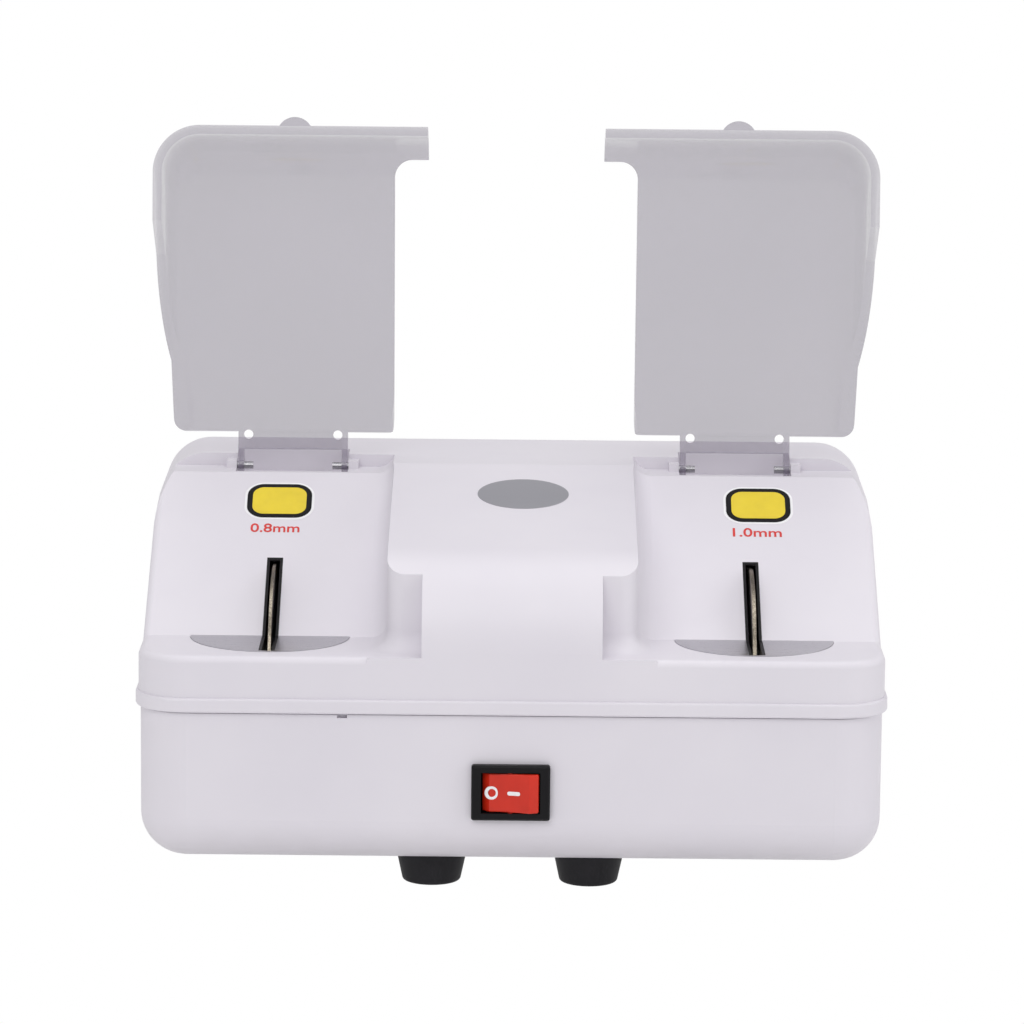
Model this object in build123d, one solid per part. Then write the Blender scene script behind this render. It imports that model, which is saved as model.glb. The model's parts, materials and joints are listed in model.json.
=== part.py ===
from build123d import *
import math
import os

# Lens notching machine: two thin cutting discs on one motor spindle, each under its own
# clear guard. Millimetres. X runs to the right, Y runs to the back, Z runs up.
# The origin is on the table under the middle of the machine.

# Casing
half_width = 100.0
case_depth = 137.0
wall = 2.5
side_round = 13.0
foot_height = 9.0
seam_z = 50.0
seam_gap = 0.3
deck_z = 65.6
nose_z = 67.0
nose_radius = 25.0
roof_angle = 11.0
crown_angle = 1.3
crease_depth = 85.0
crown_radius = 14.0
bead_proud = 0.8
bead_round = 0.72
bead_height = 4.0
base_inset = 0.5
base_edge_round = 12.0
lip_height = 3.0
lip_wall = 1.2
lip_gap = 0.2
notch_x = -45.0
notch_width = 2.6
notch_height = 0.9

# Work bays, one each side of the central bulge
bulge_half = 33.5
tongue_half = 24.0
tongue_depth = 9.4
flare_round = 4.6
deck_depth = 28.0
ledge_depth = 86.4
ledge_z = 101.0
shelf_depth = 98.0
bay_round = 5.0
deck_edge_round = 2.0

# Guards and their hinges
guard_wall = 2.5
guard_gap = 0.4
guard_open = 96.0
hinge_depth = 95.5
hinge_z = 101.5
hinge_inset = 37.5
knuckle_half = 15.5
arm_width = 1.7
arm_thickness = 2.2
eye_radius = 2.6
pin_radius = 1.0
pin_running = 0.05
pin_grip = 2.0
pin_stub = 2.6
pocket_gap = 0.3
pocket_front = 88.0
pocket_back = 106.4
pocket_z = 98.3
flap_length = 5.0
relief_radius = 1.3
relief_inset = 2.35
relief_offset = 0.8
skirt_front = 26.0
skirt_knee = 36.0
skirt_knee_depth = 13.0
skirt_back = 66.0
skirt_back_depth = 4.4
skirt_end_depth = 3.7
guard_outer_round = 3.5
guard_inner_round = 1.2
guard_edge_inset = 3.9
lug_wall = 0.8
lug_rise = 1.7
lug_reach = 2.2
flap_thickness = 1.9
flap_drop = 0.1
arm_bevel = 0.8
tab_radius = 5.0
tab_proud = 2.4
tab_inset = 39.0
tab_thickness = 3.2

# Spindle and cutting discs
spindle_depth = 50.0
spindle_z = 50.0
shaft_radius = 4.0
shaft_overhang = 12.5
seat_gap = 0.02
station_inset = 34.5
disc_radius = 31.0
left_disc_thickness = 0.8
right_disc_thickness = 1.0
flange_radius = 12.0
flange_thickness = 2.5
nut_flats = 13.0
nut_radius = 7.28
nut_thickness = 6.0
slot_width = 4.4
slot_back = 55.5
disc_relief = 0.8
liner_wall = 0.8
liner_clearance = 1.5

# Lens rest plates
plate_radius = 21.5
plate_thickness = 1.2
plate_proud = 0.2
plate_fit = 0.1
plate_bridge = 1.1

# Motor
motor_radius = 28.0
motor_wall = 2.5
motor_half = 24.0
bell_thickness = 5.5
hub_radius = 14.0
hub_length = 4.0
bell_bore = 5.0
bearing_radius = 11.0
bearing_width = 7.0
running_gap = 0.04
stator_half = 14.0
stator_bore = 15.5
rotor_radius = 15.0
winding_length = 6.0
winding_wall = 6.0
fan_start = 39.0
fan_width = 7.0
fan_radius = 21.0
fan_hub = 8.0
blade_count = 9
blade_thickness = 1.2

# Chassis, capacitor and terminal block
chassis_z = 15.0
chassis_thickness = 2.0
chassis_half = 46.0
chassis_front = 20.0
chassis_rear = 15.0
standoff_radius = 4.0
saddle_half = 18.0
saddle_span = 16.0
saddle_top = 30.0
capacitor_radius = 13.0
capacitor_half = 24.0
capacitor_depth = 92.0
clip_wall = 1.5
clip_half = 7.0
block_half = 9.5
block_width = 16.0
block_height = 11.0
block_centre = 35.5
block_rear = 45.0
block_screw_pitch = 5.89

# Rocker switch
switch_z = 29.5
bezel_half_x = 10.5
bezel_half_z = 7.5
bezel_proud = 1.8
bezel_round = 0.7
bezel_bevel = 0.5
housing_half_x = 9.4
housing_half_z = 6.9
housing_depth = 15.0
rocker_radius = 7.6
rocker_half_z = 5.25
rocker_gap = 0.3
rocker_pivot = 0.5
rocker_valley = 1.2
rocker_end = 1.75
rocker_bevel = 2.2
rocker_bevel_drop = 1.3
rocker_tail = 4.0
rocker_tilt = 11.0
trunnion_radius = 0.8
trunnion_length = 1.0
rocker_edge_round = 0.4
blade_width = 4.8
blade_gauge = 0.8
blade_reach = 8.0

# Mains inlet and fuse
inlet_inset = 43.0
inlet_z = 31.0
inlet_half_x = 13.6
inlet_half_z = 10.0
inlet_flange = 1.9
inlet_flange_thickness = 2.5
inlet_flange_lap = 1.0
inlet_depth = 21.0
socket_half_x = 12.0
socket_half_z = 8.2
socket_depth = 17.0
socket_corner = 4.0
pin_pitch = 7.0
earth_rise = 4.0
contact_width = 2.0
contact_height = 4.0
contact_reach = 12.0
contact_tail = 7.0
fuse_offset = 26.0
fuse_z = 31.0
fuse_body_radius = 6.2
fuse_flange_radius = 9.0
fuse_flange_thickness = 1.6
fuse_body_depth = 29.0
fuse_bore = 3.6
fuse_cap_radius = 6.6
fuse_proud = 3.6
fuse_stem = 3.2
fuse_radius = 2.6
fuse_length = 20.0

# Swarf shrouds and hatches
shroud_inner = 33.5
shroud_wall = 1.6
shroud_half = 6.5
shroud_clearance = 2.0
chute_half = 9.0
hatch_half_x = 6.2
hatch_half_y = 16.0
hatch_height = 2.3
hatch_bevel = 2.07
hatch_taper = 2.8
hatch_plug_gap = 0.3
hatch_screw_offset = 12.5

# Feet, screws and vents
foot_top_radius = 9.75
foot_bottom_radius = 7.8
foot_front_x = 21.3
foot_front_depth = 22.3
foot_rear_inset = 30.0
foot_rear_gap = 24.0
foot_well = 4.5
foot_edge_round = 1.0
washer_thickness = 1.0
washer_inset = 0.5
screw_radius = 1.5
screw_head_radius = 2.8
screw_head_height = 1.8
screw_gap = 0.05
boss_radius = 4.2
boss_inset_x = 14.0
boss_inset_y = 13.5
boss_screw_depth = 10.0
vent_width = 2.6
vent_height = 17.0
vent_pitch = 5.4
vent_count = 8
vent_centre = 56.0
vent_z = 32.0

# Leads
lead_radius = 1.1
lead_arc_share = 0.45
lead_exit = 4.0
lead_step = 9.0
lead_spread = 23.0
lead_ahead = 5.0
lead_bow = 2.0
lead_height = 4.0
lead_lift = 1.5
lead_side = 6.0
lead_past = 14.0
lead_margin = 4.0
lead_clearance = 7.4
inlet_exit = 10.0
inlet_loop = 8.0
inlet_drop = 3.0
inlet_turn = 13.5
block_exit = 8.0

front_y = -case_depth / 2
rear_y = case_depth / 2
spindle_y = front_y + spindle_depth
hinge_y = front_y + hinge_depth
floor_z = foot_height + wall
shelf_y = front_y + shelf_depth
disc_centre = half_width - station_inset
hinge_centre = half_width - hinge_inset
shaft_end = disc_centre + shaft_overhang
slot_front = deck_depth - plate_radius + plate_bridge
inlet_x = inlet_inset - half_width
fuse_x = inlet_x + fuse_offset
touch = 0.01
slope_angle = math.atan2(ledge_z - deck_z, ledge_depth - deck_depth)
directions = {"X": (1, 0, 0), "Y": (0, 1, 0), "Z": (0, 0, 1)}
sides = {"left": -1, "right": 1}
nodes = {}


def block_between(x_range, y_range, z_range):
    """Square-cornered block between two values on each axis."""
    middle = [(low + high) / 2 for low, high in (x_range, y_range, z_range)]
    size = [abs(high - low) for low, high in (x_range, y_range, z_range)]
    return Pos(*middle) * Box(*size)


def bar(axis, start, end, radius, first, second):
    """Round bar along one axis, with its two other coordinates in X, Y, Z order."""
    origin = {"X": (start, first, second), "Y": (first, start, second), "Z": (first, second, start)}
    plane = Plane(origin=origin[axis], z_dir=directions[axis])
    return extrude(plane * Circle(radius), amount=end - start)


def ring(axis, start, end, outer, inner, first, second):
    """Round bar with a bore."""
    return bar(axis, start, end, outer, first, second) - bar(axis, start, end, inner, first, second)


def spindle_bar(start, end, radius):
    """Round bar on the spindle axis."""
    return bar("X", min(start, end), max(start, end), radius, spindle_y, spindle_z)


def spindle_ring(start, end, outer, inner):
    """Ring on the spindle axis."""
    return spindle_bar(start, end, outer) - spindle_bar(start, end, inner)


def on_side(side, shape):
    """The shape as drawn for the right-hand side, or its mirror image for the left."""
    return shape if side > 0 else mirror(shape, about=Plane.YZ)


def screw(x, y, head_z, length, up=1):
    """Pan-head screw along Z, with its head's underside at head_z."""
    head = bar("Z", head_z - up * screw_head_height, head_z, screw_head_radius, x, y)
    return head + bar("Z", head_z, head_z + up * length, screw_radius, x, y)


# Casing form

def upper_profile(inset, bottom_z):
    """Side outline of the upper casing, drawn inward by inset."""
    roof, crown = math.radians(roof_angle), math.radians(crown_angle)
    nose_y = front_y + nose_radius
    crown_y = rear_y - crown_radius
    roof_start = Vector(nose_y - nose_radius * math.sin(roof), nose_z + nose_radius * math.cos(roof))
    crease_y = front_y + crease_depth
    crease_z = roof_start.Y + (crease_y - roof_start.X) * math.tan(roof)
    crown_end_y = crown_y - crown_radius * math.sin(crown)
    crown_end_z = crease_z + (crown_end_y - crease_y) * math.tan(crown)
    crown_z = crown_end_z - crown_radius * math.cos(crown)
    nose, tail = nose_radius - inset, crown_radius - inset
    nose_end = (nose_y - nose * math.sin(roof), nose_z + nose * math.cos(roof))
    tail_start = (crown_y - tail * math.sin(crown), crown_z + tail * math.cos(crown))
    mitre = inset * math.tan((roof - crown) / 2)
    crease = (crease_y + inset * math.sin(roof) - mitre * math.cos(roof),
              crease_z - inset * math.cos(roof) - mitre * math.sin(roof))
    nose_middle = math.radians(45 + roof_angle / 2)
    tail_middle = math.radians(45 + crown_angle / 2)
    outline = [
        Line((front_y + inset, bottom_z), (front_y + inset, nose_z)),
        ThreePointArc((front_y + inset, nose_z),
                      (nose_y - nose * math.sin(nose_middle), nose_z + nose * math.cos(nose_middle)),
                      nose_end),
        Line(nose_end, crease),
        Line(crease, tail_start),
        ThreePointArc(tail_start,
                      (crown_y + tail * math.cos(tail_middle), crown_z + tail * math.sin(tail_middle)),
                      (rear_y - inset, crown_z)),
        Line((rear_y - inset, crown_z), (rear_y - inset, bottom_z)),
        Line((rear_y - inset, bottom_z), (front_y + inset, bottom_z)),
    ]
    return Plane.YZ * make_face(outline)


def upper_form(inset, bottom_z):
    """Outer form of the upper casing, with its side edges rounded."""
    reach = half_width - inset
    form = extrude(upper_profile(inset, bottom_z), amount=reach, both=True)
    rims = ShapeList()
    for side in sides.values():
        rims += form.edges().filter_by_position(Axis.X, side * reach - touch, side * reach + touch)
    rims = ShapeList(edge for edge in rims if edge.center().Z > bottom_z + touch)
    return fillet(rims, side_round - inset)


def bay_form(grow):
    """Space of the right-hand work bay, larger all round by grow."""
    inner, tongue = bulge_half - grow, tongue_half - grow
    notch_y = front_y + tongue_depth + grow
    corner = flare_round - grow
    ledge_y, back_y = front_y + ledge_depth + grow, shelf_y + grow
    out_x = half_width + side_round
    ahead_y = front_y - side_round
    mid = corner * (1 - math.sqrt(0.5))
    plan = [
        Line((tongue, ahead_y), (tongue, notch_y)),
        Line((tongue, notch_y), (inner - corner, notch_y)),
        ThreePointArc((inner - corner, notch_y), (inner - mid, notch_y + mid), (inner, notch_y + corner)),
        Line((inner, notch_y + corner), (inner, back_y)),
        Line((inner, back_y), (out_x, back_y)),
        Line((out_x, back_y), (out_x, ahead_y)),
        Line((out_x, ahead_y), (tongue, ahead_y)),
    ]
    low_z, high_z = deck_z - side_round, ledge_z + 2 * side_round
    column = extrude(Plane.XY.offset(low_z) * make_face(plan), amount=high_z - low_z)
    floor_level = deck_z - grow
    bend_y = front_y + deck_depth + grow * math.tan(slope_angle / 2)
    slope_top = floor_level + (ledge_y - bend_y) * math.tan(slope_angle)
    section = Polyline((ahead_y, floor_level), (bend_y, floor_level), (ledge_y, slope_top),
                       (ledge_y, high_z), (ahead_y, high_z), close=True)
    space = column & extrude(make_face(Plane.YZ * section), amount=out_x + side_round)
    foot = ShapeList()
    for edge in space.edges().filter_by_position(Axis.X, inner - touch, inner + touch):
        if abs(edge.tangent_at(0.5).Y) > 0.5 and edge.center().Z < slope_top:
            foot.append(edge)
    shelf = block_between((inner, out_x), (bend_y, back_y), (ledge_z - grow, high_z))
    shelf_foot = shelf.faces().sort_by(Axis.X)[0].edges().sort_by(Axis.Z)[0]
    return fillet(foot, bay_round + grow) + fillet(shelf_foot, bay_round + grow)


def bay_edge_waste():
    """Material that the rounding takes off the right-hand bay's outer edges."""
    ledge_y, bend_y = front_y + ledge_depth, front_y + deck_depth
    low_z = deck_z - side_round
    section = Polyline((front_y, low_z), (front_y, deck_z), (bend_y, deck_z), (ledge_y, ledge_z),
                       (rear_y, ledge_z), (rear_y, low_z), close=True)
    step = extrude(Plane.YZ * make_face(section), amount=half_width)
    corner = ShapeList()
    for edge in step.edges().filter_by(Axis.Z):
        if edge.center().X > side_round and edge.center().Y < front_y + side_round:
            corner.append(edge)
    step = fillet(corner, side_round)
    rim = ShapeList()
    for edge in step.edges():
        centre = edge.center()
        outer = centre.X > half_width - touch or centre.Y < front_y + side_round - touch
        if outer and centre.Z > deck_z - touch and centre.Y < shelf_y:
            rim.append(edge)
    step = fillet(rim, deck_edge_round)
    zone = block_between((bulge_half + bay_round, half_width + wall), (front_y - wall, shelf_y),
                         (deck_z - deck_edge_round, ledge_z))
    return zone - step


def hinge_pocket(grow):
    """Pocket for the right-hand guard's hinge arms, larger all round by grow."""
    half = knuckle_half + pocket_gap + grow
    return block_between((hinge_centre - half, hinge_centre + half),
                         (front_y + pocket_front - grow, front_y + pocket_back + grow),
                         (pocket_z - grow, ledge_z + 2 * side_round))


def disc_slot(inset=0.0, low_z=deck_z - side_round):
    """Slot for the right-hand disc through the deck and the slope, smaller all round by inset."""
    half = slot_width / 2 - inset
    low_x, high_x = disc_centre - half, disc_centre + half
    ends = (front_y + slot_front + inset, front_y + slot_back - inset)
    slot = block_between((low_x, high_x), ends, (low_z, ledge_z + side_round))
    return slot + spindle_bar(low_x, high_x, disc_radius + disc_relief)


def slot_liner():
    """Dark liner that hangs in the right-hand slot, beside the disc."""
    half = slot_width / 2 - seat_gap
    low_z = seam_z + seam_gap
    ends = (front_y + slot_front + seat_gap, front_y + slot_back - seat_gap)
    liner = block_between((disc_centre - half, disc_centre + half), ends, (low_z, ledge_z))
    liner -= bay_form(0)
    liner -= disc_slot(liner_wall, low_z - wall)
    return liner - spindle_bar(0, half_width, flange_radius + liner_clearance)


def plate_outline(radius):
    """Half-moon outline of the right-hand rest plate."""
    centre = Vector(disc_centre, front_y + deck_depth)
    half_moon = Pos(centre.X, centre.Y) * Circle(radius)
    return half_moon & (Pos(centre.X, centre.Y - radius) * Rectangle(2 * radius, 2 * radius))


def boss_places():
    """Corner screws: X, Y of each."""
    return [(side * (half_width - boss_inset_x), y)
            for y in (front_y + boss_inset_y, rear_y - boss_inset_y) for side in sides.values()]


def bead():
    """Proud bead round the upper casing's lower rim."""
    low = seam_z + seam_gap
    outer = RectangleRounded(2 * (half_width + bead_proud), case_depth + 2 * bead_proud,
                             side_round + bead_proud)
    inner = RectangleRounded(2 * (half_width - wall / 2), case_depth - wall, side_round - wall / 2)
    band = extrude(Plane.XY.offset(low) * (outer - inner), amount=bead_height)
    edges = ShapeList()
    for face in band.faces().filter_by(Axis.Z):
        edges += face.outer_wire().edges()
    return fillet(edges, bead_round)


def top_cover():
    """Upper casing shell with bays, hinge pockets, disc slots and screw bosses."""
    low = seam_z + seam_gap
    outside = upper_form(0, low)
    inside = upper_form(wall, low - wall)
    for side in sides.values():
        outside -= on_side(side, bay_form(0))
        outside -= on_side(side, bay_edge_waste())
        outside -= on_side(side, hinge_pocket(0))
        inside -= on_side(side, bay_form(wall))
        inside -= on_side(side, hinge_pocket(wall))
    shell = outside - inside
    hollow = outside & inside
    for x, y in boss_places():
        boss = bar("Z", low, ledge_z + side_round, boss_radius, x, y) & hollow
        shell += boss
        shell -= bar("Z", low - wall, low + boss_screw_depth, screw_radius + screw_gap, x, y)
    shell += bead()
    bed_plane = Plane.XY.offset(deck_z - plate_thickness + plate_proud)
    plate_bed = extrude(bed_plane * plate_outline(plate_radius + plate_fit), amount=plate_thickness)
    for side in sides.values():
        shell -= on_side(side, disc_slot())
        shell -= on_side(side, plate_bed)
        for way in (-1, 1):
            shell += on_side(side, hinge_lug(way))
            shell -= on_side(side, hinge_pin(way, seat_gap))
    return shell


def hinge_lug(way):
    """Lug beside the right-hand hinge pocket, which holds one stub pin's outer end."""
    inner = hinge_centre + way * (knuckle_half + pocket_gap)
    outer = inner + way * (pin_grip + lug_wall)
    lug = block_between((inner, outer), (hinge_y - lug_reach, shelf_y + wall / 2),
                        (ledge_z - wall / 2, hinge_z + lug_rise))
    return lug & upper_form(0, seam_z)


def hinge_pin(way, extra):
    """One of the right-hand guard's two stub pins, thicker by extra."""
    outer = hinge_centre + way * (knuckle_half + pocket_gap + pin_grip)
    inner = hinge_centre + way * (knuckle_half - arm_width - pin_stub)
    return bar("X", min(inner, outer), max(inner, outer), pin_radius + extra, hinge_y, hinge_z)


def base_form(inset, top_z):
    """Lower casing form, with rounded corners and a rounded bottom edge."""
    bottom = foot_height + inset
    edge = base_inset + inset
    outline = RectangleRounded(2 * (half_width - edge), case_depth - 2 * edge, side_round - inset)
    form = extrude(Plane.XY.offset(bottom) * outline, amount=top_z - bottom)
    return fillet(form.faces().sort_by(Axis.Z)[0].edges(), base_edge_round - inset)


def foot_places():
    """Feet: X, Y of each."""
    front_place = (foot_front_x, front_y + foot_front_depth)
    rear_place = (half_width - foot_rear_inset, rear_y - foot_rear_gap)
    return [(side * x, y) for x, y in (front_place, rear_place) for side in sides.values()]


def chassis_places():
    """Chassis screws: X, Y of each."""
    inset = 2 * standoff_radius
    return [(side * (chassis_half - inset), y)
            for y in (front_y + chassis_front + inset, rear_y - chassis_rear - inset)
            for side in sides.values()]


def hatch_places():
    """Hatch screws on the right-hand side: X, Y of each."""
    return [(disc_centre, spindle_y + way * hatch_screw_offset) for way in (-1, 1)]


def base_shell():
    """Lower casing tray with bosses, standoffs and panel openings."""
    tray = base_form(0, seam_z) - base_form(wall, seam_z + wall)
    lip_out = wall + base_inset + lip_gap
    lip_in = lip_out + lip_wall
    lip = RectangleRounded(2 * (half_width - lip_out), case_depth - 2 * lip_out, side_round - lip_out)
    lip -= RectangleRounded(2 * (half_width - lip_in), case_depth - 2 * lip_in, side_round - lip_in)
    tray += extrude(Plane.XY.offset(seam_z - lip_height) * lip, amount=2 * lip_height)
    for x, y in boss_places():
        tray += bar("Z", floor_z - wall / 2, seam_z, boss_radius, x, y) & base_form(0, seam_z)
        tray -= bar("Z", 0, seam_z - wall, screw_head_radius + screw_gap, x, y)
        tray -= bar("Z", 0, seam_z + wall, screw_radius + 2 * screw_gap, x, y)
    for x, y in chassis_places():
        tray += bar("Z", floor_z - wall / 2, chassis_z, standoff_radius, x, y)
        tray -= bar("Z", floor_z, chassis_z + wall, screw_radius + screw_gap, x, y)
    for x, y in foot_places():
        tray -= bar("Z", 0, floor_z + wall, screw_radius + screw_gap, x, y)
    for side in sides.values():
        chute = block_between((disc_centre - shroud_half, disc_centre + shroud_half),
                              (spindle_y - chute_half, spindle_y + chute_half), (0, floor_z + wall))
        tray -= on_side(side, chute)
        for x, y in hatch_places():
            tray -= bar("Z", 0, floor_z + wall, screw_radius + screw_gap, side * x, y)
    tray -= block_between((-housing_half_x - screw_gap, housing_half_x + screw_gap),
                          (front_y - wall, front_y + 2 * wall),
                          (switch_z - housing_half_z - screw_gap, switch_z + housing_half_z + screw_gap))
    tray -= block_between((inlet_x - inlet_half_x - screw_gap, inlet_x + inlet_half_x + screw_gap),
                          (rear_y - 2 * wall, rear_y + wall),
                          (inlet_z - inlet_half_z - screw_gap, inlet_z + inlet_half_z + screw_gap))
    tray -= bar("Y", rear_y - 2 * wall, rear_y + wall, fuse_body_radius + screw_gap, fuse_x, fuse_z)
    tray -= block_between((notch_x - notch_width / 2, notch_x + notch_width / 2),
                          (front_y - wall, front_y + base_inset + wall / 2),
                          (seam_z - notch_height, seam_z + wall))
    for index in range(vent_count):
        x = vent_centre + (index - (vent_count - 1) / 2) * vent_pitch
        tray -= block_between((x - vent_width / 2, x + vent_width / 2), (rear_y - 2 * wall, rear_y + wall),
                              (vent_z - vent_height / 2, vent_z + vent_height / 2))
    return tray


# Guards

def roof_height(depth):
    """Height of the roof's front slope at a depth from the front."""
    roof = math.radians(roof_angle)
    start_depth = nose_radius * (1 - math.sin(roof))
    return nose_z + nose_radius * math.cos(roof) + (depth - start_depth) * math.tan(roof)


def skirt_waste():
    """Space below the right-hand guard's outer skirt, which grows shallow to the back."""
    edge_depth = ledge_depth - guard_gap
    rim = [(skirt_front, deck_z),
           (skirt_knee, roof_height(skirt_knee) - skirt_knee_depth),
           (skirt_back, roof_height(skirt_back) - skirt_back_depth),
           (edge_depth + touch, roof_height(edge_depth) - skirt_end_depth),
           (edge_depth + touch, deck_z)]
    section = Polyline(*[(front_y + depth, z) for depth, z in rim], close=True)
    plane = Plane(origin=(half_width - side_round, 0, 0), x_dir=(0, 1, 0), z_dir=(1, 0, 0))
    return extrude(plane * make_face(section), amount=2 * side_round)


def corner_waste(x, way, radius):
    """Material outside a rounded back corner of the right-hand guard, whose side lies at x."""
    middle_x = x - way * radius
    middle_y = front_y + ledge_depth - guard_gap - radius
    square = block_between((middle_x, middle_x + way * 4 * radius), (middle_y, middle_y + 2 * radius),
                           (seam_z, 2 * ledge_z))
    return square - bar("Z", seam_z, 2 * ledge_z, radius, middle_x, middle_y)


def guard_closed():
    """Right-hand guard in its closed place over the bay."""
    edge_y = front_y + ledge_depth - guard_gap
    panel_y = edge_y - 2 * guard_wall
    cover = block_between((0, half_width + wall), (front_y - wall, edge_y), (seam_z, 2 * ledge_z))
    shell = (upper_form(0, seam_z) & bay_form(-guard_gap) & cover) - upper_form(guard_wall, seam_z - wall)
    shell = max(shell.solids(), key=lambda solid: solid.volume)
    top_z = hinge_z + eye_radius
    arm = Polyline((panel_y, top_z - guard_wall), (panel_y, top_z - arm_bevel), (edge_y, top_z),
                   (hinge_y, top_z), (hinge_y, hinge_z - eye_radius + arm_thickness / 2),
                   (edge_y, top_z - guard_wall), close=True)
    for way in (-1, 1):
        outer = hinge_centre + way * knuckle_half
        inner = outer - way * arm_width
        low, high = min(outer, inner), max(outer, inner)
        plane = Plane(origin=(low, 0, 0), x_dir=(0, 1, 0), z_dir=(1, 0, 0))
        shell += extrude(plane * make_face(arm), amount=high - low)
        shell += bar("X", low, high, eye_radius, hinge_y, hinge_z)
    flap_top = top_z - flap_drop
    flap = block_between((hinge_centre - knuckle_half, hinge_centre + knuckle_half),
                         (panel_y, edge_y + flap_length), (flap_top - flap_thickness, flap_top))
    shell += flap & upper_form(0, seam_z)
    for way in (-1, 1):
        relief_x = hinge_centre + way * (knuckle_half - arm_width - relief_inset / 2)
        shell -= bar("Z", ledge_z, 2 * ledge_z, relief_radius, relief_x, edge_y + relief_offset)
    shell -= bar("X", 0, half_width, pin_radius + pin_running, hinge_y, hinge_z)
    shell -= skirt_waste()
    shell -= corner_waste(half_width - guard_edge_inset, 1, guard_outer_round)
    shell -= corner_waste(bulge_half + guard_gap, -1, guard_inner_round)
    tab_z = deck_z + guard_gap
    tab_x = half_width - tab_inset
    tab = bar("Z", tab_z, tab_z + tab_thickness, tab_radius, tab_x, front_y + tab_radius - tab_proud)
    return shell + (tab - upper_form(guard_wall / 2, seam_z))


def guard(side):
    """Guard swung up to its rest position."""
    closed = on_side(side, guard_closed())
    return closed.rotate(Axis((0, hinge_y, hinge_z), (1, 0, 0)), -guard_open)


# Spindle group

def nut(side):
    """Hexagon nut that clamps the outer flange."""
    start = disc_centre + disc_half(side) + flange_thickness
    plane = Plane(origin=(start, spindle_y, spindle_z), z_dir=(1, 0, 0))
    hexagon = extrude(plane * RegularPolygon(nut_flats / 2, 6, major_radius=False), amount=nut_thickness)
    body = hexagon & spindle_bar(start, start + nut_thickness, nut_radius)
    return on_side(side, body - spindle_bar(0, shaft_end, shaft_radius + seat_gap))


def disc_half(side):
    """Half of the disc's thickness on that side."""
    return (right_disc_thickness if side > 0 else left_disc_thickness) / 2


def spindle_nodes():
    """Everything that turns with the shaft."""
    bore = shaft_radius + seat_gap
    nodes["motor_shaft"] = spindle_bar(-shaft_end, shaft_end, shaft_radius)
    nodes["rotor_core"] = spindle_ring(-stator_half, stator_half, rotor_radius, bore)
    fan = spindle_ring(fan_start, fan_start + fan_width, fan_hub, bore)
    for index in range(blade_count):
        blade = block_between((fan_start, fan_start + fan_width), (fan_hub - blade_thickness, fan_radius),
                              (-blade_thickness / 2, blade_thickness / 2))
        fan += Pos(0, spindle_y, spindle_z) * (Rot(index * 360 / blade_count, 0, 0) * blade)
    nodes["cooling_fan"] = fan
    for name, side in sides.items():
        half = disc_half(side)
        disc = spindle_ring(disc_centre - half, disc_centre + half, disc_radius, bore)
        nodes[f"{name}_cutting_disc"] = on_side(side, disc)
        inner = spindle_ring(disc_centre - half - flange_thickness, disc_centre - half, flange_radius, bore)
        outer = spindle_ring(disc_centre + half, disc_centre + half + flange_thickness, flange_radius, bore)
        nodes[f"{name}_inner_flange"] = on_side(side, inner)
        nodes[f"{name}_outer_flange"] = on_side(side, outer)
    nodes["spindle_nuts"] = Compound(children=[nut(side) for side in sides.values()])


# Motor and chassis

def motor_nodes():
    """Motor housing, end bells, stator, bearings and the saddle under them."""
    inner = motor_radius - motor_wall
    nodes["motor_housing"] = spindle_ring(-motor_half, motor_half, motor_radius, inner)
    nodes["stator_core"] = spindle_ring(-stator_half, stator_half, inner - seat_gap, stator_bore)
    coil_outer = inner - motor_wall
    coil = spindle_ring(stator_half, stator_half + winding_length, coil_outer, coil_outer - winding_wall)
    nodes["stator_windings"] = Compound(children=[on_side(side, coil) for side in sides.values()])
    for name, side in sides.items():
        bell_end = motor_half + bell_thickness
        bell = spindle_ring(motor_half, bell_end, motor_radius, bell_bore)
        bell += spindle_ring(bell_end, bell_end + hub_length, hub_radius, bell_bore)
        bearing_end = bell_end + hub_length
        bell -= spindle_bar(bearing_end - bearing_width, bearing_end, bearing_radius + seat_gap)
        nodes[f"{name}_end_bell"] = on_side(side, bell)
        bearing = spindle_ring(bearing_end - bearing_width, bearing_end, bearing_radius,
                               shaft_radius + running_gap)
        nodes[f"{name}_bearing"] = on_side(side, bearing)
    top = chassis_z + chassis_thickness
    saddle = block_between((-saddle_half, saddle_half), (spindle_y - saddle_span, spindle_y + saddle_span),
                           (top, saddle_top))
    saddle -= spindle_bar(-half_width, half_width, motor_radius + seat_gap)
    nodes["motor_saddle"] = saddle
    plate = block_between((-chassis_half, chassis_half), (front_y + chassis_front, rear_y - chassis_rear),
                          (chassis_z, top))
    plate = fillet(plate.edges().filter_by(Axis.Z), standoff_radius)
    for x, y in chassis_places():
        plate -= bar("Z", chassis_z, top, screw_radius + screw_gap, x, y)
    for x, y in saddle_places():
        hole = bar("Z", chassis_z - wall, saddle_top - wall, screw_radius + screw_gap, x, y)
        plate -= hole
        nodes["motor_saddle"] -= hole
    nodes["chassis_plate"] = plate
    reach = top - floor_z - wall / 2
    nodes["chassis_screws"] = Compound(children=[
        screw(x, y, top, reach, up=-1) for x, y in chassis_places()])
    nodes["saddle_screws"] = Compound(children=[
        screw(x, y, chassis_z, 2 * wall + chassis_thickness) for x, y in saddle_places()])


def saddle_places():
    """Screws from the chassis plate up into the motor saddle: X, Y of each."""
    inset = boss_radius
    return [(side * (saddle_half - inset), spindle_y + way * (saddle_span - inset))
            for side in sides.values() for way in (-1, 1)]


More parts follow.
